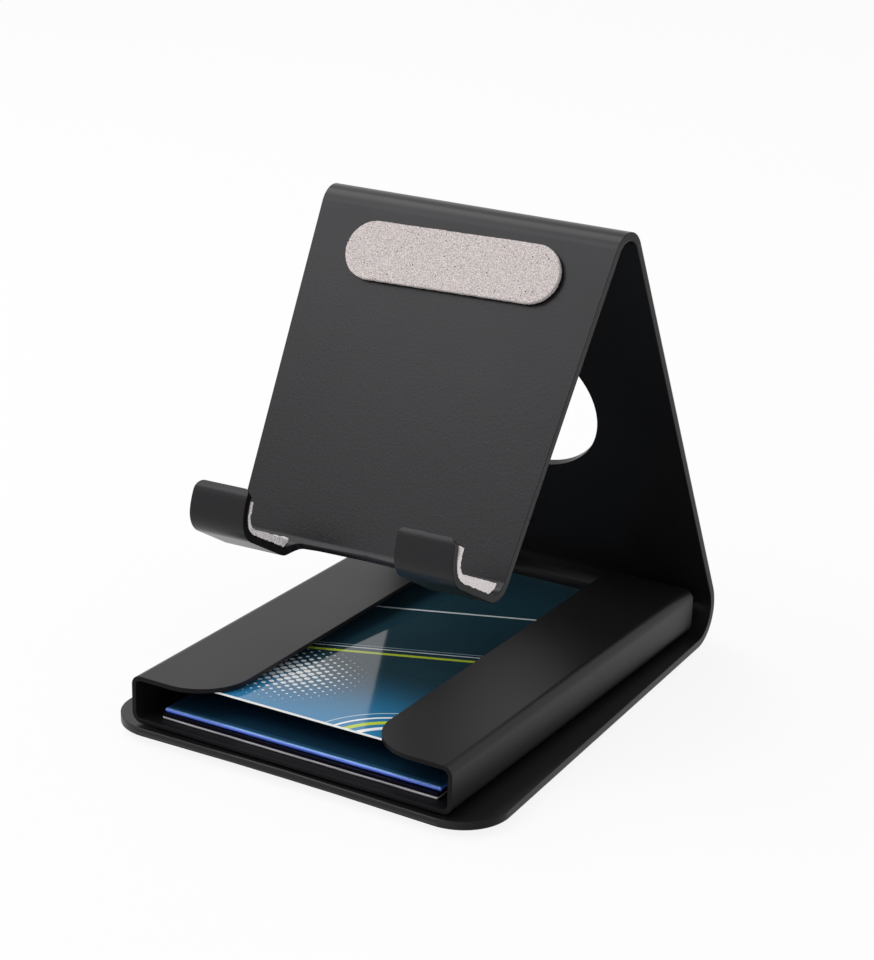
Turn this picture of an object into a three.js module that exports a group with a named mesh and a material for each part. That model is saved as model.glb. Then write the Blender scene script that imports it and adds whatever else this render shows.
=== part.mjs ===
// A desk stand for a phone, with a tray for business cards on its foot plate. Millimetres, +Z up,
// X across the stand, -Y towards the user, origin on the desk under the middle of the stand.
// The stand is one sheet of coated steel, cut as a long tapering blank and folded four times.
import * as THREE from "three";

// Sheet of the stand, cut flat and folded
const standSheet = 1.5;
const plateFrontWidth = 75.8;
const panelEndWidth = 51.6;
const plateCornerRadius = 9;
const plateLength = 86.1;
const legLength = 77.5;
const panelLength = 58.3;
const legLean = 22.9; // degrees forward of upright
const panelLean = 30.4; // degrees back from upright
const rearBendInside = 5.5;
const topBendInside = 3;
const cableHoleRadius = 15.5;

// Hooks that hold the phone's lower edge
const hookWidth = 11.4;
const hookBendInside = 1.7;
const hookFloorLength = 11.5;
const lipBendInside = 2;
const lipTurn = 65; // degrees, so the lip opens outwards
const lipLength = 5.4;
const lipCornerRadius = 2.4;
const notchFillet = 2;
const notchPastBend = 1.25; // how far the edge between the hooks runs into the hook bend

// Business cards and the folded tray that holds them
const cardWidth = 54;
const cardLength = 85;
const cardSideRoom = 3.2;
const traySheet = 0.8;
const trayHeight = 8.6;
const trayFrontSetback = 1.1;
const trayRearRoom = 0.4;
const trayBendInside = 1;
const trayFlangeWidth = 17.4;
const trayFrontCornerRadius = 9.5;
const trayRearCornerRadius = 3;
const trayGap = 0.3; // weld gap between the tray's floor and the plate
const cardGap = 0.08; // air between loose cards
const cardSlack = 0.3; // from the topmost card to the tray's flanges
const stackRearRoom = 1.4;
const topCardRearRoom = 0.9;

// Foam pads and rubber feet, each stuck on by a film of glue
const glueFilm = 0.3;
const backPadLength = 41.4;
const backPadHeight = 10.4;
const backPadBelowBend = 1.8;
const padThickness = 1;
const hookPadSideMargin = 0.3;
const hookPadBelowLip = 2;
const footDiameter = 9;
const footThickness = 1;
const footInset = 9;

// Fineness of the curves
const bendStep = 7.5; // degrees
const cornerSteps = 8;
const holeSteps = 28;
const sameRow = 1e-6;

const degrees = THREE.MathUtils.degToRad;

const coatedSteel = new THREE.MeshStandardMaterial({ color: 0x1f1f21, roughness: 0.5, metalness: 0.2 });
const paleFoam = new THREE.MeshStandardMaterial({ color: 0xcdc4c3, roughness: 0.95, metalness: 0 });
const blackRubber = new THREE.MeshStandardMaterial({ color: 0x161616, roughness: 0.85, metalness: 0 });
const tealCard = new THREE.MeshStandardMaterial({ color: 0x2a6178, roughness: 0.25, metalness: 0 });
const blueCard = new THREE.MeshStandardMaterial({ color: 0x3f5fc4, roughness: 0.3, metalness: 0 });
const navyCard = new THREE.MeshStandardMaterial({ color: 0x141633, roughness: 0.4, metalness: 0 });
const whiteCard = new THREE.MeshStandardMaterial({ color: 0xd8d6d4, roughness: 0.5, metalness: 0 });

// The middle of a folded sheet's thickness, seen along its folds: straight stretches and bends, each found
// by the distance along the flat sheet. Offsets count from the middle, positive to the left of the way.
class FoldPath {
  constructor(sheet, start, heading) {
    this.sheet = sheet;
    this.stretches = [];
    this.length = 0;
    this.end = start.clone();
    this.heading = heading;
  }

  stretch(length, turn, centre = null) {
    const { length: from, heading } = this;
    this.stretches.push({ from, length, start: this.end.clone(), heading, turn, centre });
  }

  straight(length) {
    this.stretch(length, 0);
    this.end.add(new THREE.Vector2(length, 0).rotateAround(new THREE.Vector2(), this.heading));
    this.length += length;
    return this;
  }

  bend(turn, insideRadius) {
    const radius = insideRadius + this.sheet / 2;
    const length = Math.abs(turn) * radius;
    const toCentre = this.heading + (Math.sign(turn) * Math.PI) / 2;
    const centre = new THREE.Vector2(radius, 0).rotateAround(new THREE.Vector2(), toCentre).add(this.end);
    this.stretch(length, turn, centre);
    this.end.rotateAround(centre, turn);
    this.heading += turn;
    this.length += length;
    return this;
  }

  at(distance, offset = 0) {
    const stretch = this.stretches.findLast((each) => distance >= each.from - 1e-9) ?? this.stretches[0];
    const along = distance - stretch.from;
    const side = new THREE.Vector2(0, offset).rotateAround(new THREE.Vector2(), stretch.heading);
    const point = stretch.start.clone().add(side);
    if (stretch.turn === 0) {
      return point.add(new THREE.Vector2(along, 0).rotateAround(new THREE.Vector2(), stretch.heading));
    }
    return point.rotateAround(stretch.centre, (stretch.turn * along) / stretch.length);
  }

  // Every distance at which a flat-faced model of the sheet needs a row of points.
  rows() {
    return this.stretches.flatMap(({ from, length, turn }) => {
      const steps = Math.max(1, Math.ceil(Math.abs(turn) / degrees(bendStep)));
      return Array.from({ length: steps + 1 }, (_, i) => from + (length * i) / steps);
    });
  }
}

// How far a round corner of the sheet's outline draws its side in, at a distance from the corner's end.
const cornerInset = (radius, fromEnd) =>
  fromEnd >= radius ? 0 : radius - Math.sqrt(radius ** 2 - (radius - Math.max(fromEnd, 0)) ** 2);

// The distances of the points along a quarter-round corner, counted from its end.
const cornerRows = (radius) =>
  Array.from({ length: cornerSteps + 1 }, (_, i) => radius * (1 - Math.cos((i * Math.PI) / 2 / cornerSteps)));

// The given rows in order, without those that lie on another one or outside the two ends.
const sortedRows = (rows, low, high) =>
  rows
    .filter((row) => row > low - sameRow && row < high + sameRow)
    .sort((a, b) => a - b)
    .filter((row, i, all) => i === 0 || row - all[i - 1] > sameRow);

// Makes the solid of a folded sheet. spansBetween(row, next) gives the flat outline between two rows as
// spans, each with its limits [low, high] at the row and at the next one. place(across, row, face) gives
// the point in space on face 0 or 1 of the sheet.
function foldedSolid(rows, spansBetween, place) {
  const key = (across, row) => across.toFixed(4) + " " + row.toFixed(4);
  const strips = rows
    .slice(1)
    .flatMap((next, i) => spansBetween(rows[i], next).map((limits) => ({ ends: [rows[i], next], limits })));
  const pointsOnRow = new Map(rows.map((row) => [row, []]));
  for (const { ends, limits } of strips) {
    ends.forEach((row, side) => pointsOnRow.get(row).push(...limits[side]));
  }
  const sharedPoints = (row, [low, high]) =>
    [...new Set(pointsOnRow.get(row).map((across) => +across.toFixed(5)))]
      .filter((across) => across > low - 1e-4 && across < high + 1e-4)
      .sort((a, b) => a - b)
      .map((across) => [across, row]);

  const flat = [];
  for (const { ends, limits } of strips) {
    const near = sharedPoints(ends[0], limits[0]);
    const far = sharedPoints(ends[1], limits[1]);
    let i = 0;
    let j = 0;
    while (i < near.length - 1 || j < far.length - 1) {
      const nearStep = i < near.length - 1 ? (i + 1) / near.length : Infinity;
      const farStep = j < far.length - 1 ? (j + 1) / far.length : Infinity;
      if (nearStep <= farStep) flat.push([near[i], near[++i], far[j]]);
      else flat.push([near[i], far[j + 1], far[j++]]);
    }
  }

  const position = [];
  const known = new Map();
  const vertex = ([across, row], face) => {
    const name = key(across, row) + " " + face;
    if (!known.has(name)) {
      known.set(name, position.length / 3);
      position.push(...place(across, row, face).toArray());
    }
    return known.get(name);
  };
  const edges = new Map();
  const index = [];
  for (const triangle of flat) {
    const [a, b, c] = triangle;
    index.push(vertex(a, 0), vertex(b, 0), vertex(c, 0), vertex(a, 1), vertex(c, 1), vertex(b, 1));
    triangle.forEach((from, i) => {
      const to = triangle[(i + 1) % 3];
      const back = key(...to) + " " + key(...from);
      if (edges.has(back)) edges.delete(back);
      else edges.set(key(...from) + " " + key(...to), [from, to]);
    });
  }
  for (const [from, to] of edges.values()) {
    index.push(vertex(from, 0), vertex(from, 1), vertex(to, 1));
    index.push(vertex(from, 0), vertex(to, 1), vertex(to, 0));
  }
  const solid = new THREE.BufferGeometry();
  solid.setAttribute("position", new THREE.Float32BufferAttribute(position, 3));
  solid.setIndex(facingOut(position, index));
  return solid;
}

// Turns every face round where the solid that they close has its faces pointing in.
function facingOut(position, index) {
  const corner = (i) => new THREE.Vector3().fromArray(position, index[i] * 3);
  let volume = 0;
  for (let i = 0; i < index.length; i += 3) volume += corner(i).dot(corner(i + 1).cross(corner(i + 2)));
  return volume > 0 ? index : index.toReversed();
}

function piece(name, geometry, material, x = 0, y = 0, z = 0) {
  const mesh = new THREE.Mesh(geometry, material);
  mesh.name = name;
  mesh.position.set(x, y, z);
  return mesh;
}

// The stand's side view, from the plate's front edge back, up the leg, down the panel and round a hook.
// The plate's underside is at height 0, and the face that carries the pads is on the right of the way.
const side = new FoldPath(standSheet, new THREE.Vector2(0, standSheet / 2), 0);
side.straight(plateLength);
side.bend(degrees(90 + legLean), rearBendInside);
const legStart = side.length;
side.straight(legLength);
side.bend(degrees(180 - legLean - panelLean), topBendInside);
const panelStart = side.length;
side.straight(panelLength);
const hookBendStart = side.length;
side.bend(degrees(-90), hookBendInside);
const hookFloorStart = side.length;
side.straight(hookFloorLength);
side.bend(degrees(-lipTurn), lipBendInside);
side.straight(lipLength);
const lipEnd = side.length;

const notchEdge = hookBendStart + notchPastBend;
const cableHole = legStart + legLength / 2;
const hookOutside = panelEndWidth / 2;
const hookInside = hookOutside - hookWidth;
const plateTop = standSheet;

// Half the width of the stand's blank: it tapers evenly from the plate's front edge to the hooks.
function halfWidth(row) {
  const taper = (plateFrontWidth - panelEndWidth) / 2 / hookBendStart;
  return plateFrontWidth / 2 - taper * Math.min(row, hookBendStart);
}

function standFrame() {
  const holeRows = Array.from(
    { length: holeSteps + 1 },
    (_, i) => cableHole - cableHoleRadius * Math.cos((Math.PI * i) / holeSteps),
  );
  const rows = sortedRows(
    [
      ...side.rows(),
      ...holeRows,
      ...cornerRows(plateCornerRadius),
      ...cornerRows(notchFillet).map((row) => notchEdge + row),
      ...cornerRows(lipCornerRadius).map((row) => lipEnd - row),
    ],
    0,
    lipEnd,
  );
  const outside = (row) =>
    halfWidth(row) - cornerInset(plateCornerRadius, row) - cornerInset(lipCornerRadius, lipEnd - row);
  const insideOfHook = (row) =>
    hookInside - cornerInset(notchFillet, row - notchEdge) + cornerInset(lipCornerRadius, lipEnd - row);
  const insideOfHole = (row) => Math.sqrt(Math.max(0, cableHoleRadius ** 2 - (row - cableHole) ** 2));
  const spansBetween = (row, next) => {
    const middle = (row + next) / 2;
    let inside = null;
    if (middle > notchEdge) inside = insideOfHook;
    else if (Math.abs(middle - cableHole) < cableHoleRadius) inside = insideOfHole;
    if (!inside) return [[row, next].map((end) => [-outside(end), outside(end)])];
    return [
      [row, next].map((end) => [-outside(end), -inside(end)]),
      [row, next].map((end) => [inside(end), outside(end)]),
    ];
  };
  const place = (across, row, face) => {
    const point = side.at(row, (face - 0.5) * standSheet);
    return new THREE.Vector3(across, point.x, point.y);
  };
  return foldedSolid(rows, spansBetween, place);
}

// The tray stands on the plate and ends where the rear bend rises out of the plate.
const trayWidth = cardWidth + 2 * (cardSideRoom + traySheet);
const trayBottom = plateTop + trayGap;
const trayFloorTop = trayBottom + traySheet;
const trayTop = trayBottom + trayHeight;
const trayRear = insideOfRearBend(trayGap) - trayRearRoom;

// How far back the hollow side of the rear bend, and of the leg above it, lies at a height over the plate.
function insideOfRearBend(height) {
  const lean = degrees(legLean);
  const overLeg = height - rearBendInside * (1 + Math.sin(lean));
  if (overLeg > 0) return plateLength + rearBendInside * Math.cos(lean) - overLeg * Math.tan(lean);
  return plateLength + Math.sqrt(rearBendInside ** 2 - (rearBendInside - height) ** 2);
}

function cardTray() {
  const corner = trayBendInside + traySheet;
  const wall = trayHeight - 2 * corner;
  const floor = trayWidth - 2 * corner;
  const flange = trayFlangeWidth - corner;
  const start = new THREE.Vector2(-trayWidth / 2 + trayFlangeWidth, trayTop - traySheet / 2);
  const section = new FoldPath(traySheet, start, Math.PI);
  for (const length of [flange, wall, floor, wall]) {
    section.straight(length).bend(Math.PI / 2, trayBendInside);
  }
  section.straight(flange);
  const end = section.length;
  const corners = [trayFrontCornerRadius, trayRearCornerRadius].flatMap(cornerRows);
  const rows = sortedRows([...section.rows(), ...corners, ...corners.map((row) => end - row)], 0, end);
  const inset = (radius, row) => cornerInset(radius, row) + cornerInset(radius, end - row);
  const limits = (row) => [
    trayFrontSetback + inset(trayFrontCornerRadius, row),
    trayRear - inset(trayRearCornerRadius, row),
  ];
  const place = (across, row, face) => {
    const point = section.at(row, (face - 0.5) * traySheet);
    return new THREE.Vector3(point.x, across, point.y);
  };
  return foldedSolid(rows, (row, next) => [[limits(row), limits(next)]], place);
}

// A foam strip that lines one hook, from the foot of the panel to just below the lip's edge.
function hookPad(low, high) {
  const end = lipEnd - hookPadBelowLip;
  const rows = sortedRows([hookFloorStart, ...side.rows(), end], hookFloorStart, end);
  const span = [low + hookPadSideMargin, high - hookPadSideMargin];
  const place = (across, row, face) => {
    const point = side.at(row, -standSheet / 2 - glueFilm - face * padThickness);
    return new THREE.Vector3(across, point.x, point.y);
  };
  return foldedSolid(rows, () => [[span, span]], place);
}

// The foam pad that the phone's back leans on: a flat bar with round ends.
function backPad() {
  const radius = backPadHeight / 2;
  const reach = backPadLength / 2 - radius;
  const outline = new THREE.Shape();
  outline.absarc(reach, 0, radius, -Math.PI / 2, Math.PI / 2);
  outline.absarc(-reach, 0, radius, Math.PI / 2, (3 * Math.PI) / 2);
  const geometry = new THREE.ExtrudeGeometry(outline, {
    depth: padThickness,
    bevelEnabled: false,
    curveSegments: 2 * cornerSteps,
  });
  const seat = side.at(panelStart + backPadBelowBend + radius, -standSheet / 2 - glueFilm);
  const mesh = piece("back_pad", geometry, paleFoam, 0, seat.x, seat.y);
  mesh.rotation.x = degrees(90 - panelLean);
  return mesh;
}

// The loose cards, the stack from the tray's floor up, and how far each lies to the right of the middle.
const stack = [
  { name: "card_white", material: whiteCard, thickness: 0.36, aside: 0.4 },
  { name: "card_navy_lower", material: navyCard, thickness: 0.36, aside: 0.5 },
  { name: "card_navy_upper", material: navyCard, thickness: 0.36, aside: 0.6 },
  { name: "card_blue", material: blueCard, thickness: 0.76, aside: 0.9 },
];
const topCard = { name: "card_top", material: tealCard, thickness: 0.4, aside: 0 };

function card({ name, material, thickness, aside }, bottom, rear) {
  const geometry = new THREE.BoxGeometry(cardWidth, cardLength, thickness);
  return piece(name, geometry, material, aside, rear - cardLength / 2, bottom + thickness / 2);
}

const stand = new THREE.Group();
stand.add(piece("stand_frame", standFrame(), coatedSteel));
stand.add(piece("card_tray", cardTray(), coatedSteel));
stand.add(backPad());
stand.add(piece("hook_pad_left", hookPad(-hookOutside, -hookInside), paleFoam));
stand.add(piece("hook_pad_right", hookPad(hookInside, hookOutside), paleFoam));

let cardBottom = trayFloorTop + cardGap;
const stackRear = insideOfRearBend(cardBottom - plateTop) - stackRearRoom;
for (const layer of stack) {
  stand.add(card(layer, cardBottom, stackRear));
  cardBottom += layer.thickness + cardGap;
}
const topCardTop = trayTop - traySheet - cardSlack;
const topCardRear = insideOfRearBend(topCardTop - plateTop) - topCardRearRoom;
stand.add(card(topCard, topCardTop - topCard.thickness, topCardRear));

for (const [end, row] of [["front", footInset], ["rear", plateLength - footInset]]) {
  for (const [hand, sign] of [["left", -1], ["right", 1]]) {
    const radius = footDiameter / 2;
    const foot = new THREE.CylinderGeometry(radius, radius, footThickness, 4 * cornerSteps);
    foot.rotateX(Math.PI / 2);
    const across = sign * (halfWidth(row) - footInset);
    stand.add(piece(`foot_${end}_${hand}`, foot, blackRubber, across, row, -glueFilm - footThickness / 2));
  }
}

// The whole stand rests on its feet, and the origin is under the middle of its depth.
const depth = plateLength + rearBendInside + standSheet;
stand.position.set(0, -depth / 2, footThickness + glueFilm);

export default stand;
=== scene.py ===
import cmath
import math

import bmesh
import bpy
from mathutils import Matrix, Vector, noise


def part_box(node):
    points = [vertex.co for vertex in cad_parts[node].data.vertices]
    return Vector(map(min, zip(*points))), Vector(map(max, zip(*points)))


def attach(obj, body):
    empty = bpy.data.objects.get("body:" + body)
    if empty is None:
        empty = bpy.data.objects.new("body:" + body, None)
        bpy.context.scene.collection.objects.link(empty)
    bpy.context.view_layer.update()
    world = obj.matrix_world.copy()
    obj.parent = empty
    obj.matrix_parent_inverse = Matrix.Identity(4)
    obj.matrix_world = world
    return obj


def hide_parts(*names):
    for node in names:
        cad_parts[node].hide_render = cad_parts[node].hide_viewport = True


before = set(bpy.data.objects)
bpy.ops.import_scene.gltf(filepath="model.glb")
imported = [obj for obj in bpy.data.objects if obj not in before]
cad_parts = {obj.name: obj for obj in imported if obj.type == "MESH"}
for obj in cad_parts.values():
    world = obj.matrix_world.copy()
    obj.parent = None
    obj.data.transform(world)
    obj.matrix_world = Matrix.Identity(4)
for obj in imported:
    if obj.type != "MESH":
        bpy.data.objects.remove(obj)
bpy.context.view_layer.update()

# The view: a long lens to the right in front of the stand, looking down on it and tipped a little to one
# side. It stands where the photograph's edges all meet the model's.
mm = 0.001
camera_place = Vector((206.6, -347.3, 187.5)) * mm
camera_turn = math.radians(30.706)
camera_dip = math.radians(20.149)
camera_roll = math.radians(1.35)
focal_length = 102.6
sensor_width = 36

scene = bpy.context.scene
scene.view_settings.view_transform = "Standard"
lens = bpy.data.cameras.new("photo_lens")
lens.sensor_fit = "HORIZONTAL"
lens.sensor_width = sensor_width
lens.lens = focal_length
camera = bpy.data.objects.new("photo_camera", lens)
heading = Matrix.Rotation(camera_turn, 4, "Z")
dip = Matrix.Rotation(math.radians(90) - camera_dip, 4, "X")
roll = Matrix.Rotation(camera_roll, 4, "Z")
camera.matrix_world = Matrix.Translation(camera_place) @ heading @ dip @ roll
scene.collection.objects.link(camera)
scene.camera = camera


# The studio: a pale paper floor that keeps a soft shadow, a white surround that gloss can see, and large
# soft lamps. Lamps and surround together light a surface to about the colour that it is given.
surround_light = 0.6
floor_reach = 3.0
floor_veil = 0.88  # how much of the floor's white is plain to the eye, so that its shadow stays faint
lamps_face = (0, 0, 0.04)


def colour(hex_code):
    """The linear colour of an sRGB hex value."""
    channels = [int(hex_code[i:i + 2], 16) / 255 for i in (1, 3, 5)]
    return [c / 12.92 if c <= 0.04045 else ((c + 0.055) / 1.055) ** 2.4 for c in channels] + [1.0]


def add_node(tree, kind, inputs=None, **settings):
    """Adds a shader node with its settings. Inputs gives a socket its value or the output that feeds it."""
    node = tree.nodes.new("ShaderNode" + kind)
    for setting, value in settings.items():
        setattr(node, setting, value)
    for socket, value in (inputs or {}).items():
        if isinstance(value, bpy.types.NodeSocket):
            tree.links.new(value, node.inputs[socket])
        else:
            node.inputs[socket].default_value = value
    return node


def seen_directly(tree):
    """1 for the eye and for what gloss and glass show, 0 for the light that surfaces pass to each other."""
    ray = add_node(tree, "LightPath").outputs
    eye = add_node(tree, "Math", {0: ray["Is Camera Ray"], 1: ray["Is Glossy Ray"]}, operation="MAXIMUM")
    glass = ray["Is Transmission Ray"]
    return add_node(tree, "Math", {0: eye.outputs[0], 1: glass}, operation="MAXIMUM").outputs[0]


def blank_tree(owner):
    """The owner's node tree, emptied; the owner is a new material or the surround."""
    owner.use_nodes = True
    owner.node_tree.nodes.clear()
    return owner.node_tree


surround = bpy.data.worlds.new("white_surround")
tree = blank_tree(surround)
dim = add_node(tree, "Background", {"Color": colour("#ffffff"), "Strength": surround_light})
white = add_node(tree, "Background", {"Color": colour("#ffffff"), "Strength": 1.0})
either = add_node(tree, "MixShader", {0: seen_directly(tree), 1: dim.outputs[0], 2: white.outputs[0]})
add_node(tree, "OutputWorld", {"Surface": either.outputs[0]})
scene.world = surround

paper = bpy.data.materials.new("white_backdrop_paper")
tree = blank_tree(paper)
lit = add_node(tree, "BsdfDiffuse", {"Color": colour("#fafafa")})
plain = add_node(tree, "Emission", {"Color": colour("#ffffff"), "Strength": 1.0})
veil = add_node(tree, "Math", {0: seen_directly(tree), 1: floor_veil}, operation="MULTIPLY")
either = add_node(tree, "MixShader", {0: veil.outputs[0], 1: lit.outputs[0], 2: plain.outputs[0]})
add_node(tree, "OutputMaterial", {"Surface": either.outputs[0]})

floor_mesh = bpy.data.meshes.new("backdrop_floor")
corners = [(x * floor_reach, y * floor_reach, 0) for x, y in ((-1, -1), (1, -1), (1, 1), (-1, 1))]
floor_mesh.from_pydata(corners, [], [(0, 1, 2, 3)])
floor_mesh.materials.append(paper)
floor = bpy.data.objects.new("backdrop_floor", floor_mesh)
scene.collection.objects.link(floor)


def soft_lamp(name, place, size, share):
    """A square soft box that faces the stand's middle and gives it a share of the full level of light."""
    toward = Vector(lamps_face) - Vector(place)
    box = bpy.data.lights.new(name, "AREA")
    box.shape = "SQUARE"
    box.size = size
    box.energy = share * math.pi ** 2 * toward.length ** 2
    lamp = bpy.data.objects.new(name, box)
    lamp.matrix_world = Matrix.Translation(place) @ toward.to_track_quat("-Z", "Y").to_matrix().to_4x4()
    scene.collection.objects.link(lamp)


soft_lamp("front_left_soft_box", (-0.46, -0.46, 0.74), 0.5, 0.26)
soft_lamp("upper_left_soft_box", (-0.46, 0.1, 0.9), 0.5, 0.24)


# The stand: one blank of 1.5 mm mild steel, laser cut, folded on a press brake at the rear, at the top and
# into two hooks with lips, and then powder coated black. The blank narrows evenly from the plate's front
# edge to the lips' ends, so the folded stand looks slimmer towards its top.
sheet = 1.5
plate_front_half_width = 37.88
hook_outside = 26.1
plate_length = 86.1
leg_length = 77.5
panel_length = 57.85
leg_lean = math.radians(22.9)
panel_lean = math.radians(30.4)
rear_bend_inside = 5.5
top_bend_inside = 3.0
plate_corner = 9.0
cable_hole_radius = 15.5
hook_width = 11.6
hook_bend_inside = 2.6
hook_floor_length = 9.9
lip_bend_inside = 3.4
lip_turn = math.radians(66)
lip_curl_inside = 9.5
lip_curl = math.radians(17.3)
lip_tip_inside = 2.0
lip_tip_curl = math.radians(20)
lip_outer_corner = 1.4
lip_inner_corner = 0.9
left_lip_extra = 0.6
fold_skew = math.radians(1.2)  # the hooks' fold runs a little askew, lower on the left
notch_fillet = 2.0
notch_past_bend = 1.6
bend_step = math.radians(2.5)
plate_corner_steps = 16
hole_steps = 48
cut_edge_round = 0.68  # the coating rounds the laser-cut edges over


class FoldLine:
    """A folded sheet seen along its folds: the middle of its thickness, with complex numbers for points."""

    def __init__(self, thickness, start, direction):
        self.thickness = thickness
        self.stretches = []
        self.length = 0.0
        self.end = start
        self.direction = direction

    def straight(self, length):
        self.stretches.append((self.length, length, self.end, self.direction, 0.0, 0.0))
        self.end += length * self.direction
        self.length += length

    def bend(self, turn, inside):
        radius = inside + self.thickness / 2
        centre = self.end + math.copysign(radius, turn) * 1j * self.direction
        self.stretches.append((self.length, abs(turn) * radius, self.end, self.direction, turn, centre))
        self.end = centre + (self.end - centre) * cmath.exp(1j * turn)
        self.direction *= cmath.exp(1j * turn)
        self.length += abs(turn) * radius

    def at(self, along, offset=0.0):
        """The point at a distance along the flat sheet, offset to the left of its middle."""
        begun = [stretch for stretch in self.stretches if along >= stretch[0] - 1e-6]
        start, length, point, direction, turn, centre = begun[-1] if begun else self.stretches[0]
        side = point + offset * 1j * direction
        if not turn:
            return side + (along - start) * direction
        return centre + (side - centre) * cmath.exp(1j * turn * (along - start) / length)

    def bend_cuts(self):
        """Where the flat sheet is divided so that its bends come out round."""
        for start, length, _, _, turn, _ in self.stretches:
            steps = max(1, math.ceil(abs(turn) / bend_step))
            yield from (start + length * i / steps for i in range(steps + 1))


def rounded(radius, steps=10):
    """A quarter-round corner: how far each point lies in from the side, and how far from the end."""
    angles = [math.radians(90) * i / steps for i in range(steps + 1)]
    return [(radius * (1 - math.sin(a)), radius * (1 - math.cos(a))) for a in angles]


def folded_sheet(name, outline, thickness, edge_round, cuts, place, half=False):
    """Cuts a blank to its outline, rounds its edges over and folds it; place puts a point of the flat blank
    where the fold takes it. Where outline is the right half of a blank, the left half mirrors it."""
    blank = bmesh.new()
    rings = [[blank.verts.new((x, y, z)) for x, y in outline] for z in (-thickness / 2, thickness / 2)]
    blank.faces.new(reversed(rings[0]))
    blank.faces.new(rings[1])
    count = len(outline)
    for i in range(count):
        j = (i + 1) % count
        blank.faces.new((rings[0][i], rings[0][j], rings[1][j], rings[1][i]))

    def on_seam(points):
        return half and all(abs(point.co.x) < 1e-6 for point in points)

    rims = [e for e in blank.edges if e.verts[0].co.z == e.verts[1].co.z and not on_seam(e.verts)]
    bmesh.ops.bevel(blank, geom=rims, offset=edge_round, segments=3, profile=0.5, affect="EDGES")
    if half:
        seam = [face for face in blank.faces if on_seam(face.verts)]
        bmesh.ops.delete(blank, geom=seam, context="FACES")
    for cut in sorted(set(cuts)):
        everything = blank.verts[:] + blank.edges[:] + blank.faces[:]
        bmesh.ops.bisect_plane(blank, geom=everything, dist=1e-5, plane_co=(0, cut, 0), plane_no=(0, 1, 0))
    if half:
        everything = blank.verts[:] + blank.edges[:] + blank.faces[:]
        bmesh.ops.mirror(blank, geom=everything, axis="X", merge_dist=1e-4)
        bmesh.ops.remove_doubles(blank, verts=blank.verts[:], dist=1e-4)
    for point in blank.verts:
        point.co = place(*point.co)
    bmesh.ops.recalc_face_normals(blank, faces=blank.faces[:])
    mesh = bpy.data.meshes.new(name)
    blank.to_mesh(mesh)
    blank.free()
    return mesh


def new_piece(mesh, body, slot, *nodes):
    """Puts a finished mesh in the scene in the place of the CAD nodes that it stands for."""
    piece = bpy.data.objects.new(mesh.name, mesh)
    scene.collection.objects.link(piece)
    for face in mesh.polygons:
        face.use_smooth = True
    shading = piece.modifiers.new("even_shading", "WEIGHTED_NORMAL")
    shading.keep_sharp = False
    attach(piece, body)
    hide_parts(*nodes)
    return piece


def powder_coat(name, ior, roughness, dulled_way, cut_gloss_with_painted_shade):
    """Polyester powder baked on steel: a satin black film, faintly pebbled. Faces that turn along the given
    axis keep only the given share of its sheen: partly the thinner coat on cut edges, partly painted shade."""
    coat = bpy.data.materials.new(name)
    tree = blank_tree(coat)
    pebble_size = 0.45 * mm
    cloud_size = 14 * mm
    cloud_depth = 0.03
    coordinates = add_node(tree, "TexCoord").outputs
    place = coordinates["Object"]
    pebbles = add_node(tree, "TexNoise", {"Vector": place, "Scale": 1 / pebble_size, "Detail": 3.0})
    clouds = add_node(tree, "TexNoise", {"Vector": place, "Scale": 1 / cloud_size, "Detail": 2.0})
    relief = add_node(tree, "Bump", {"Height": pebbles.outputs[0], "Strength": 0.5, "Distance": 0.03 * mm})
    sheen = add_node(
        tree,
        "MapRange",
        {"Value": clouds.outputs[0], 3: roughness - cloud_depth, 4: roughness + cloud_depth},
    )
    # Painted shade: faces turned along this axis lose sheen. This stands for the darker surroundings on
    # those sides as well as the thinner coat on cut edges.
    facing = add_node(tree, "SeparateXYZ", {0: coordinates["Normal"]}).outputs[dulled_way]
    aside = add_node(tree, "Math", {0: facing}, operation="ABSOLUTE").outputs[0]
    shine_with_painted_shade = add_node(tree, "MapRange", {"Value": aside, 1: 0.2, 2: 0.8, 3: 0.5, 4: 0.5 * cut_gloss_with_painted_shade})
    film = add_node(
        tree,
        "BsdfPrincipled",
        {
            "Base Color": colour("#151416"),
            "Specular Tint": colour("#faf8fc"),
            "Roughness": sheen.outputs[0],
            "IOR": ior,
            "Specular IOR Level": shine_with_painted_shade.outputs[0],
            "Normal": relief.outputs[0],
        },
    )
    add_node(tree, "OutputMaterial", {"Surface": film.outputs[0]})
    return coat


depth = plate_length + rear_bend_inside + sheet
plate_front = -depth / 2
plate_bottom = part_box("stand_frame")[0].z / mm
side_view = FoldLine(sheet, complex(plate_front, plate_bottom + sheet / 2), 1)
side_view.straight(plate_length)
side_view.bend(math.radians(90) + leg_lean, rear_bend_inside)
leg_middle = side_view.length + leg_length / 2
side_view.straight(leg_length)
side_view.bend(math.radians(180) - leg_lean - panel_lean, top_bend_inside)
panel_start = side_view.length
panel_way = side_view.direction
side_view.straight(panel_length)
hook_start = side_view.length
side_view.bend(math.radians(-90), hook_bend_inside)
hook_floor_start = side_view.length
side_view.straight(hook_floor_length)
lip_start = side_view.length
side_view.bend(-lip_turn, lip_bend_inside)
side_view.bend(-lip_curl, lip_curl_inside)
side_view.bend(-lip_tip_curl, lip_tip_inside)
lip_end = side_view.length
hook_inside = hook_outside - hook_width
notch = hook_start + notch_past_bend


def half_width(along):
    """Half the tapering blank's width at a distance from the plate's front edge."""
    return plate_front_half_width + (hook_outside - plate_front_half_width) * along / hook_start


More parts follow.
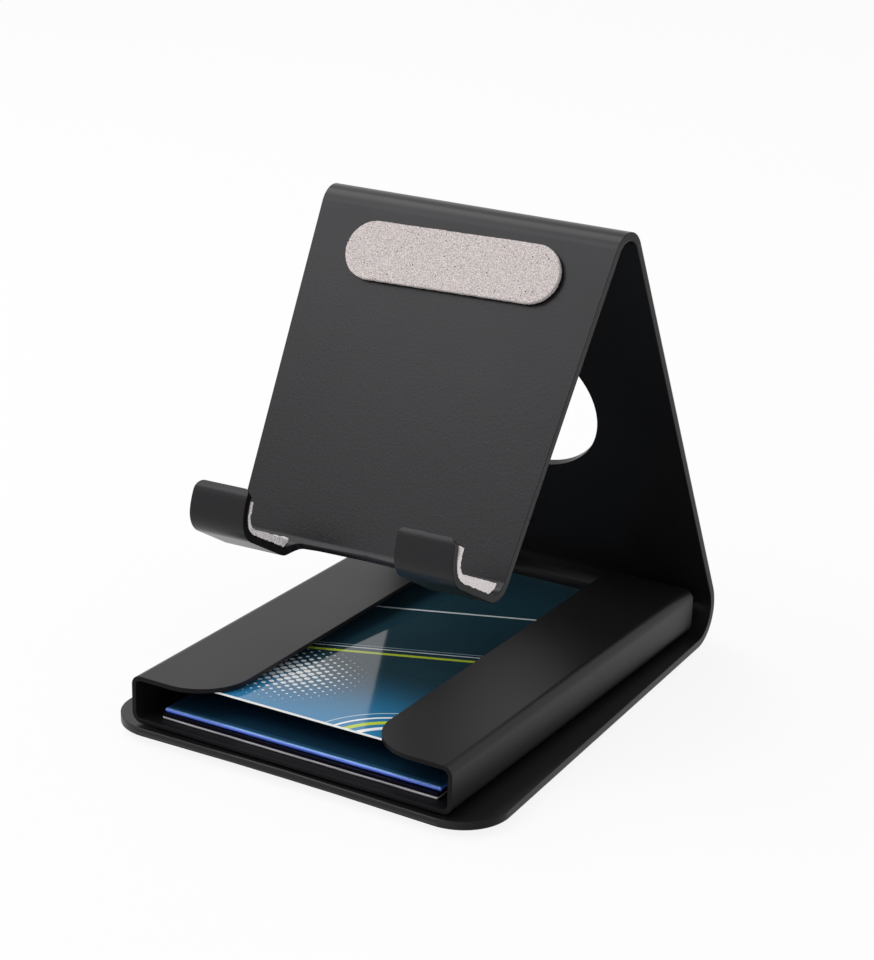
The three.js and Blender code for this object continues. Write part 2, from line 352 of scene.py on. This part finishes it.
def stand_point(across, along, offset):
    """Where the fold takes a point of the stand's blank, with what the hand fold leaves uneven."""
    if across < 0 and along > lip_start:
        along += left_lip_extra * (along - lip_start) / (lip_end - lip_start)
    point = side_view.at(along, offset)
    down_panel = min(max((along - panel_start) / panel_length, 0), 1)
    point -= across * math.tan(fold_skew) * down_panel * panel_way
    return Vector((across, point.real, point.imag)) * mm


hole_turns = [math.pi * i / hole_steps for i in range(hole_steps + 1)]
right_half = [
    (0, 0),
    *((half_width(end) - side, end) for side, end in rounded(plate_corner, plate_corner_steps)),
    *((half_width(lip_end - y) - x, lip_end - y) for x, y in reversed(rounded(lip_outer_corner))),
    *((hook_inside + x, lip_end - y) for x, y in rounded(lip_inner_corner)),
    *((hook_inside - side, notch + end) for side, end in reversed(rounded(notch_fillet))),
    (0, notch),
    *((cable_hole_radius * math.sin(a), leg_middle + cable_hole_radius * math.cos(a)) for a in hole_turns),
]
stand_mesh = folded_sheet(
    "folded_steel_stand", right_half, sheet, cut_edge_round, side_view.bend_cuts(), stand_point, half=True
)
# The stand's faces turned to its sides carry painted shade in their cut sheen.
stand_mesh.materials.append(powder_coat("black_powder_coat_on_stand", 1.35, 0.31, "X", 0.45))
new_piece(stand_mesh, "stand", "powder_coat", "stand_frame")


# The card tray: 0.8 mm steel, folded up into two walls and over into two flanges whose front corners are
# rounded, spot welded to the plate, and powder coated with it.
tray_sheet = 0.8
tray_bend_inside = 1.0
tray_flange_width = 17.4
tray_front_corner = 9.5
tray_rear_corner = 3.0
tray_front_steps = 16
tray_edge_round = 0.2
tray_half_width = 31.4

tray_low, tray_high = (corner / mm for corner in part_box("card_tray"))
tray_bend_room = tray_sheet + tray_bend_inside
tray_view = FoldLine(
    tray_sheet, complex(tray_flange_width - tray_half_width, tray_high.z - tray_sheet / 2), -1
)
for run in (
    tray_flange_width - tray_bend_room,
    tray_high.z - tray_low.z - 2 * tray_bend_room,
    2 * (tray_half_width - tray_bend_room),
    tray_high.z - tray_low.z - 2 * tray_bend_room,
):
    tray_view.straight(run)
    tray_view.bend(math.radians(90), tray_bend_inside)
tray_view.straight(tray_flange_width - tray_bend_room)


def tray_point(front_to_rear, along, offset):
    """Where the fold takes a point of the tray's blank."""
    point = tray_view.at(along, offset)
    return Vector((point.real, front_to_rear, point.imag)) * mm


flange_end = tray_view.length
tray_outline = [
    *((tray_low.y + side, end) for side, end in reversed(rounded(tray_front_corner, tray_front_steps))),
    *((tray_high.y - side, end) for side, end in rounded(tray_rear_corner)),
    *((tray_high.y - side, flange_end - end) for side, end in reversed(rounded(tray_rear_corner))),
    *((tray_low.y + side, flange_end - end) for side, end in rounded(tray_front_corner, tray_front_steps)),
]
tray_mesh = folded_sheet(
    "folded_card_tray", tray_outline, tray_sheet, tray_edge_round, tray_view.bend_cuts(), tray_point
)
# The tray's faces turned to its front and rear carry painted shade in their cut sheen.
tray_mesh.materials.append(powder_coat("black_powder_coat_on_tray", 1.34, 0.38, "Y", 0.3))
new_piece(tray_mesh, "stand", "powder_coat", "card_tray")


# The back pad: a long round-ended pad die cut from 1 mm pale foam and stuck on the panel near the top bend,
# where the phone's back leans on it. The foam has a fine salt and pepper grain with a few open pores.
pad_length = 41.4
pad_height = 10.4
pad_below_bend = 1.8
pad_thickness = 1.0
glue_film = 0.3  # dark and thin, so that the pad's edge throws a line of shadow
pad_edge_round = 0.12
pad_end_steps = 24
foam_face_size = 0.16
foam_lump_size = 0.9
foam_grit_size = 0.35
foam_grit_share = 0.3
foam_skin_sink = 0.35  # keeps the uneven skin inside the pad's plain form


def foam(name, fresh, shaded, pore_painted_shade):
    """Closed-cell foam with an open cut face: a matte, mottled grain with small pores, painted dark as
    shade in their pits.
    """
    material = bpy.data.materials.new(name)
    tree = blank_tree(material)
    grain_size = 0.2 * mm
    pore_spacing = 0.62 * mm
    closed_cells = 0.6
    widest_pore = 0.22
    place = add_node(tree, "TexCoord").outputs["Object"]
    grain = add_node(tree, "TexNoise", {"Vector": place, "Scale": 1 / grain_size, "Detail": 4.0})
    grain = add_node(tree, "MapRange", {"Value": grain.outputs[0], 1: 0.38, 2: 0.58})
    skin = add_node(
        tree, "Mix", {0: grain.outputs[0], 6: colour(shaded), 7: colour(fresh)}, data_type="RGBA"
    )
    cells = add_node(tree, "TexVoronoi", {"Vector": place, "Scale": 1 / pore_spacing, "Randomness": 1.0})
    chance = add_node(tree, "SeparateColor", {0: cells.outputs["Color"]}).outputs[0]
    open_size = {"Value": chance, 1: closed_cells, 2: 1.0, 3: 0.0, 4: widest_pore}
    reach = add_node(tree, "MapRange", open_size)
    away = cells.outputs["Distance"]
    pit = add_node(tree, "Math", {0: away, 1: reach.outputs[0]}, operation="LESS_THAN")
    # Painted shade: the open pores are coloured dark for the shade inside them.
    face = add_node(tree, "Mix", {0: pit.outputs[0], 6: skin.outputs[2], 7: colour(pore_painted_shade)}, data_type="RGBA")
    relief = add_node(tree, "Math", {0: grain.outputs[0], 1: pit.outputs[0]}, operation="SUBTRACT")
    bumps = add_node(tree, "Bump", {"Height": relief.outputs[0], "Strength": 0.6, "Distance": 0.06 * mm})
    matte = add_node(
        tree,
        "BsdfPrincipled",
        {
            "Base Color": face.outputs[2],
            "Roughness": 0.95,
            "Specular IOR Level": 0.25,
            "Sheen Weight": 0.15,
            "Normal": bumps.outputs[0],
        },
    )
    add_node(tree, "OutputMaterial", {"Surface": matte.outputs[0]})
    return material


def foam_piece(mesh, roughness, body, slot, node):
    """Gives a pad its soft, slightly uneven skin: even small faces, each moved a little in or out."""
    piece = new_piece(mesh, body, slot, node)
    piece.modifiers.clear()
    cells = piece.modifiers.new("even_faces", "REMESH")
    cells.mode = "VOXEL"
    cells.voxel_size = foam_face_size * mm
    bpy.context.view_layer.update()
    settled = bpy.data.meshes.new_from_object(piece.evaluated_get(bpy.context.evaluated_depsgraph_get()))
    piece.modifiers.clear()
    material = mesh.materials[0]
    piece.data = settled
    settled.name = mesh.name + "_skin"
    settled.materials.clear()
    settled.materials.append(material)
    outward = [point.normal.copy() for point in settled.vertices]
    for point, normal in zip(settled.vertices, outward):
        lump = noise.noise(point.co / (foam_lump_size * mm)) * (1 - foam_grit_share)
        lump += noise.noise(point.co / (foam_grit_size * mm)) * foam_grit_share
        point.co += normal * (lump - foam_skin_sink) * roughness * mm
    for face in settled.polygons:
        face.use_smooth = True
    return piece


pad_half_height = pad_height / 2
pad_reach = pad_length / 2 - pad_half_height
pad_turns = [math.pi * i / pad_end_steps - math.pi / 2 for i in range(pad_end_steps + 1)]
right_end = [
    (pad_reach + pad_half_height * math.cos(a), pad_half_height * math.sin(a)) for a in pad_turns
]
pad_outline = right_end + [(-x, -y) for x, y in right_end]
pad_seat = panel_start + pad_below_bend + pad_half_height
pad_tilt = cmath.exp(1j * math.radians(1.4))  # stuck on by hand, a little askew


def pad_point(across, up, offset):
    """Where a point of the flat pad lies on the panel."""
    spot = complex(across, up) * pad_tilt
    return stand_point(
        spot.real, pad_seat - spot.imag, -sheet / 2 - glue_film - pad_thickness / 2 - offset
    )


pad_mesh = folded_sheet("foam_back_pad", pad_outline, pad_thickness, pad_edge_round, [], pad_point)
# The last colour is the pores' painted shade.
pad_mesh.materials.append(foam("pale_grey_foam", "#e8dfdd", "#b1a7a5", "#5a5353"))
foam_piece(pad_mesh, 0.06, "stand", "foam_pad", "back_pad")


# The hook linings: strips of off-white foam, 1 mm thick, laid along each hook's floor, round its bend and
# up the lip, so that the phone's edge doesn't touch the steel. Their cut sides are ragged.
lining_flat_thickness = 1.0
lining_overhang = 0.2
lining_edge_round = 0.3
lining_cut_spacing = 0.6
lining_loose_end = 2.2  # the rear end stands off the steel where the hook bends up to the panel
loose_end_lift = 0.75  # how far it stands off, as a share of the strip's thickness
# The last colour is the pores' painted shade.
white_foam = foam("off_white_foam", "#fff9f9", "#e9e0df", "#9d9493")


def hook_lining(name, node, side, behind_floor, below_lip, sink, lean, heights):
    """side is 1 on the right and -1 on the left. The strip's soft cut side sinks over the steel's rounded
    edge, its top has come loose and leans in off the lip, and heights says how thick it is at its rear end,
    at the floor's front end and at its top."""
    rear, top = hook_floor_start - behind_floor, lip_end - below_lip
    stations = (rear, hook_floor_start + hook_floor_length, lip_end)

    def lining_point(across, along, offset):
        first = 0 if along < stations[1] else 1
        share = (along - stations[first]) / (stations[first + 1] - stations[first])
        off_lip = lean * (first * share) ** 2
        height = heights[first] + (heights[first + 1] - heights[first]) * share + off_lip
        loose = max(0, 1 - (along - rear) / lining_loose_end)
        foot = (height * loose_end_lift + sink) * loose - sink + off_lip
        return stand_point(
            across, along, -sheet / 2 - foot - (0.5 - offset / lining_flat_thickness) * (height - foot)
        )

    strip = [
        (side * (hook_inside - lining_overhang), rear),
        (side * (half_width(rear) + lining_overhang), rear),
        (side * (half_width(top) + lining_overhang), top),
        (side * (hook_inside - lining_overhang), top),
    ]
    cuts = [*side_view.bend_cuts(), *(rear + i * lining_cut_spacing for i in range(1, 18))]
    mesh = folded_sheet(
        name, strip[::side], lining_flat_thickness, lining_edge_round, cuts, lining_point
    )
    mesh.materials.append(white_foam)
    foam_piece(mesh, 0.2, "stand", "hook_lining", node)


hook_lining("foam_hook_lining_left", "hook_pad_left", -1, 2.2, 1.5, 0.25, 1.0, (1.65, 0.8, 0.3))
hook_lining("foam_hook_lining_right", "hook_pad_right", 1, 1.0, 0.5, 0.4, 1.3, (1.95, 1.05, 0.75))


# The feet: four round anti-slip pads of black rubber, die cut and stuck under the plate near its corners.
foot_chamfer = 0.15
foot_dish = 0.12
foot_ring_inside = 0.8  # where the ring that stands on the desk ends, as a share of the radius
foot_dish_outside = 0.7


def rubber():
    """Solid black rubber: dull, with the fine sand-blast grain of the sheet that it is cut from."""
    material = bpy.data.materials.new("black_rubber")
    tree = blank_tree(material)
    grain_size = 0.3 * mm
    place = add_node(tree, "TexCoord").outputs["Object"]
    grain = add_node(tree, "TexNoise", {"Vector": place, "Scale": 1 / grain_size, "Detail": 3.0})
    relief = add_node(tree, "Bump", {"Height": grain.outputs[0], "Strength": 0.5, "Distance": 0.03 * mm})
    dust = add_node(tree, "MapRange", {"Value": grain.outputs[0], 1: 0.3, 2: 0.7, 3: 0.75, 4: 0.92})
    dull = add_node(
        tree,
        "BsdfPrincipled",
        {
            "Base Color": colour("#131313"),
            "Roughness": dust.outputs[0],
            "IOR": 1.52,
            "Normal": relief.outputs[0],
        },
    )
    add_node(tree, "OutputMaterial", {"Surface": dull.outputs[0]})
    return material


def turned(name, profile, centre, segments=64):
    """A round piece from half its section: (radius, height) pairs from the top of the axis to its foot."""
    turning = bmesh.new()
    points = [turning.verts.new(Vector((r, 0, z)) * mm) for r, z in profile]
    edges = [turning.edges.new(pair) for pair in zip(points, points[1:])]
    bmesh.ops.spin(
        turning, geom=points + edges, cent=(0, 0, 0), axis=(0, 0, 1), angle=math.tau, steps=segments
    )
    bmesh.ops.remove_doubles(turning, verts=turning.verts[:], dist=0.001 * mm)
    bmesh.ops.recalc_face_normals(turning, faces=turning.faces[:])
    bmesh.ops.translate(turning, verts=turning.verts[:], vec=centre)
    mesh = bpy.data.meshes.new(name)
    turning.to_mesh(mesh)
    turning.free()
    return mesh


foot_rubber = rubber()
for place in ("front_left", "front_right", "rear_left", "rear_right"):
    low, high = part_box(f"foot_{place}")
    radius = (high.x - low.x) / 2 / mm
    top = plate_bottom - low.z / mm
    profile = [
        (0, top),
        (radius - foot_chamfer, top),
        (radius, top - foot_chamfer),
        (radius, foot_chamfer),
        (radius - foot_chamfer, 0),
        (radius * foot_ring_inside, 0),
        (radius * foot_dish_outside, foot_dish),
        (0, foot_dish),
    ]
    centre = Vector(((low.x + high.x) / 2, (low.y + high.y) / 2, low.z))
    foot_mesh = turned(f"rubber_foot_{place}", profile, centre)
    foot_mesh.materials.append(foot_rubber)
    new_piece(foot_mesh, "stand", "foot_rubber", f"foot_{place}")


# The loose business cards: three of 0.36 mm and one of 0.4 mm card stock, and one of 0.76 mm blue plastic,
# printed under gloss film and guillotined, so that their edges show the stock. The lowest is plain white.
# The topmost stands up against the flanges at its front and slopes down to the stack at its rear.
card_corner = 0.25
card_corner_steps = 3


def card_stock(name, shade, upper_painted_highlight, roughness, gloss):
    """Card stock: its guillotined edge is faintly layered, with painted shade towards the lower face and a
    painted highlight towards the upper.
    """
    material = bpy.data.materials.new(name)
    tree = blank_tree(material)
    layer = 0.15 * mm
    layer_run = 7 * mm
    coordinates = add_node(tree, "TexCoord").outputs
    height = add_node(tree, "SeparateXYZ", {0: coordinates["Generated"]}).outputs["Z"]
    spread = (1 / layer_run, 1 / layer_run, 1 / layer)
    grain = add_node(tree, "Mapping", {"Vector": coordinates["Object"], "Scale": spread})
    layers = add_node(tree, "TexNoise", {"Vector": grain.outputs[0], "Scale": 1.0, "Detail": 2.0})
    # Painted light: the edge runs from painted shade at its lower face to a painted highlight at its upper
    # face, mixed with the layers.
    painted_light_lift = add_node(tree, "Math", {0: height, 1: 0.6, 2: layers.outputs[0]}, operation="MULTIPLY_ADD")
    level = add_node(tree, "MapRange", {"Value": painted_light_lift.outputs[0], 1: 0.55, 2: 1.05})
    tone_with_painted_light = add_node(
        tree, "Mix", {0: level.outputs[0], 6: colour(shade), 7: colour(upper_painted_highlight)}, data_type="RGBA"
    )
    ridges = {"Height": layers.outputs[0], "Strength": 0.3, "Distance": 0.02 * mm}
    relief = add_node(tree, "Bump", ridges)
    edge = add_node(
        tree,
        "BsdfPrincipled",
        {
            "Base Color": tone_with_painted_light.outputs[2],
            "Roughness": roughness,
            "Specular IOR Level": gloss,
            "Normal": relief.outputs[0],
        },
    )
    add_node(tree, "OutputMaterial", {"Surface": edge.outputs[0]})
    return material


def gloss_print(name, node, front_tone, rear_tone, rings=(), lines=(), dots=()):
    """A print under clear gloss film: a base tone, painted light where lighter at the front end and painted
    shade where darker to the rear, with ring, line and half-tone motifs whose depth counts from the front
    end."""
    material = bpy.data.materials.new(name)
    tree = blank_tree(material)
    ripple_size = 9 * mm
    fade_start = -2 * mm
    fade_end = 26 * mm
    largest_dot = 0.42  # half of its width, as a share of the dots' pitch
    full_dots = 0.2  # the share of the dot field that keeps this size before it thins out
    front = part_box(node)[0].y
    place = add_node(tree, "TexCoord").outputs["Object"]
    flat = add_node(tree, "VectorMath", {0: place, 1: (1, 1, 0)}, operation="MULTIPLY").outputs[0]
    inward = add_node(tree, "SeparateXYZ", {0: place}).outputs["Y"]
    # Painted light and shade: the base tone changes from the front tone to the rear tone over the first few
    # centimetres.
    fade = add_node(
        tree,
        "MapRange",
        {"Value": inward, 1: front + fade_start, 2: front + fade_end},
        interpolation_type="SMOOTHSTEP",
    )
    tone_with_painted_light = add_node(
        tree, "Mix", {0: fade.outputs[0], 6: colour(front_tone), 7: colour(rear_tone)}, data_type="RGBA"
    )

    def distance_from(across, depth):
        """How far the surface is from a spot on the card."""
        spot = (across * mm, front + depth * mm, 0)
        return add_node(tree, "VectorMath", {0: flat, 1: spot}, operation="DISTANCE").outputs["Value"]

    def printed(mask, hex_code, under):
        """The ink under it, printed over with another where the mask is 1."""
        return add_node(
            tree,
            "Mix",
            {0: mask.outputs[0], 6: under.outputs[2], 7: colour(hex_code)},
            data_type="RGBA",
        )

    for across, depth, radius, half_line, hex_code in rings:
        away = distance_from(across, depth)
        mask = add_node(tree, "Math", {0: away, 1: radius * mm, 2: half_line * mm}, operation="COMPARE")
        tone_with_painted_light = printed(mask, hex_code, tone_with_painted_light)
    for degrees, depth, half_line, hex_code in lines:
        upright = (-math.sin(math.radians(degrees)), math.cos(math.radians(degrees)), 0)
        level = add_node(tree, "VectorMath", {0: flat, 1: upright}, operation="DOT_PRODUCT")
        middle = (front + depth * mm) * upright[1]
        mask = add_node(
            tree,
            "Math",
            {0: level.outputs["Value"], 1: middle, 2: half_line * mm},
            operation="COMPARE",
        )
        tone_with_painted_light = printed(mask, hex_code, tone_with_painted_light)
    for across, depth, pitch, spread, hex_code in dots:
        lattice = add_node(
            tree,
            "Mapping",
            {"Vector": flat, "Rotation": (0, 0, math.radians(30)), "Scale": (1 / (pitch * mm),) * 3},
        )
        cell = add_node(tree, "VectorMath", {0: lattice.outputs[0]}, operation="FRACTION")
        offset = add_node(tree, "VectorMath", {0: cell.outputs[0], 1: (0.5, 0.5, 0)}, operation="DISTANCE")
        reach = add_node(
            tree,
            "MapRange",
            {
                "Value": distance_from(across, depth),
                1: full_dots * spread * mm,
                2: spread * mm,
                3: largest_dot,
                4: 0.0,
            },
        )
        mask = add_node(
            tree, "Math", {0: offset.outputs["Value"], 1: reach.outputs[0]}, operation="LESS_THAN"
        )
        tone_with_painted_light = printed(mask, hex_code, tone_with_painted_light)
    ripple = add_node(tree, "TexNoise", {"Vector": place, "Scale": 1 / ripple_size, "Detail": 1.0})
    film = add_node(tree, "Bump", {"Height": ripple.outputs[0], "Strength": 0.2, "Distance": 0.05 * mm})
    print_face = add_node(
        tree,
        "BsdfPrincipled",
        {
            "Base Color": tone_with_painted_light.outputs[2],
            "Roughness": 0.07,
            "IOR": 1.39,
            "Normal": film.outputs[0],
        },
    )
    add_node(tree, "OutputMaterial", {"Surface": print_face.outputs[0]})
    return material


def card(node, body, slot, face, back, edge, askew, rear_drop=0.0, edge_round=0.05):
    """One card, guillotined square, in its face, back and edge materials. It lies askew by some degrees
    about its front left corner, with its rear end some millimetres lower than its front end."""
    low, high = (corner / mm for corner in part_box(node))
    middle = (low + high) / 2
    outline = [
        *((low.x + side, low.y + end) for side, end in reversed(rounded(card_corner, card_corner_steps))),
        *((high.x - side, low.y + end) for side, end in rounded(card_corner, card_corner_steps)),
        *((high.x - side, high.y - end) for side, end in reversed(rounded(card_corner, card_corner_steps))),
        *((low.x + side, high.y - end) for side, end in rounded(card_corner, card_corner_steps)),
    ]

    def card_point(x, y, z):
        swung = complex(x - low.x, y - low.y) * cmath.exp(1j * math.radians(askew))
        drop = rear_drop * (y - low.y) / (high.y - low.y)
        return Vector((low.x + swung.real, low.y + swung.imag, middle.z + z - drop)) * mm

    mesh = folded_sheet(f"loose_{node}", outline[::-1], high.z - low.z, edge_round, [], card_point)
    for material in (edge, face, back):
        mesh.materials.append(material)
    level_enough = 0.9
    for side in mesh.polygons:
        if abs(side.normal.z) > level_enough:
            side.material_index = 1 if side.normal.z > 0 else 2
    return new_piece(mesh, body, slot, node)


# The teal card's tone is painted light at its front end and painted shade towards its rear under the panel.
teal_print = gloss_print(
    "gloss_teal_print",
    "card_top",
    "#3286b8",
    "#22404c",
    rings=(
        (21, -4, 11.0, 0.5, "#ffffff"),
        (21, -4, 13.2, 0.55, "#c9dc3c"),
        (21, -4, 15.2, 0.25, "#ffffff"),
        (21, -4, 17.0, 0.14, "#b9d0da"),
    ),
    lines=(
        (24, 33.0, 0.45, "#c9dc3c"),
        (24, 35.2, 0.16, "#e8eef0"),
        (24, 36.4, 0.1, "#9fb9c4"),
        (24, 58.0, 0.3, "#e8eef0"),
        # A painted shadow: the near-black band across the card's rear end, where it runs under the leg.
        (0, 83.6, 1.9, "#0c1113"),
    ),
    dots=((-12, 15, 1.5, 14, "#f4f7f8"),),
)
teal_back = gloss_print("gloss_teal_back_print", "card_top", "#2c6280", "#2c6280")
# The blue card's tone darkens to the rear as painted shade.
blue_print = gloss_print(
    "gloss_blue_print",
    "card_blue",
    "#1a3a50",
    "#0a1430",
    lines=(
        # Painted light: these two thin lines just behind the front edge are a painted glow on the card's
        # face.
        (0.7, 0.55, 0.2, "#6c9cc6"),
        (0.7, 1.15, 0.4, "#28506e"),
        (-30, 26, 1.2, "#3566c8"),
        (-30, 30, 0.3, "#c8d6f2"),
        (-30, 44, 2.4, "#173a86"),
    ),
)
navy_print = gloss_print(
    "gloss_navy_print",
    "card_navy_upper",
    "#080a18",
    "#0d1230",
    rings=((0, 58, 9.0, 0.3, "#c9ccd8"), (0, 58, 11.0, 0.9, "#39427a")),
    lines=((0, 26, 0.2, "#8d93ad"),),
)
# Each stock's edge runs from painted shade at its lower face to a painted highlight at its upper. On the
# blue plastic the light top stands for the glint along its rounded edge.
white_stock = card_stock("white_card_stock", "#f4f4f4", "#ffffff", 0.7, 0.3)
blue_stock = card_stock("blue_plastic_edge", "#1a2c94", "#5482f2", 0.15, 0.7)
navy_stock = card_stock("navy_edged_card_stock", "#05040c", "#0c0a1c", 0.8, 0.1)
plain_stock = card_stock("plain_card_stock", "#626065", "#dcdade", 0.7, 0.3)
plain_face = card_stock("uncoated_white_card_face", "#d8d6da", "#dddbde", 0.75, 0.3)
card("card_top", "top_card", "card_teal", teal_print, teal_back, white_stock, 0.7, rear_drop=4.0)
card("card_blue", "blue_card", "card_blue", blue_print, blue_print, blue_stock, 0.7, edge_round=0.34)
card("card_navy_upper", "upper_navy_card", "card_navy", navy_print, navy_print, navy_stock, 0.2)
card("card_navy_lower", "lower_navy_card", "card_navy", navy_print, navy_print, navy_stock, 0.45)
card("card_white", "white_card", "card_white", plain_face, plain_face, plain_stock, 0.35)
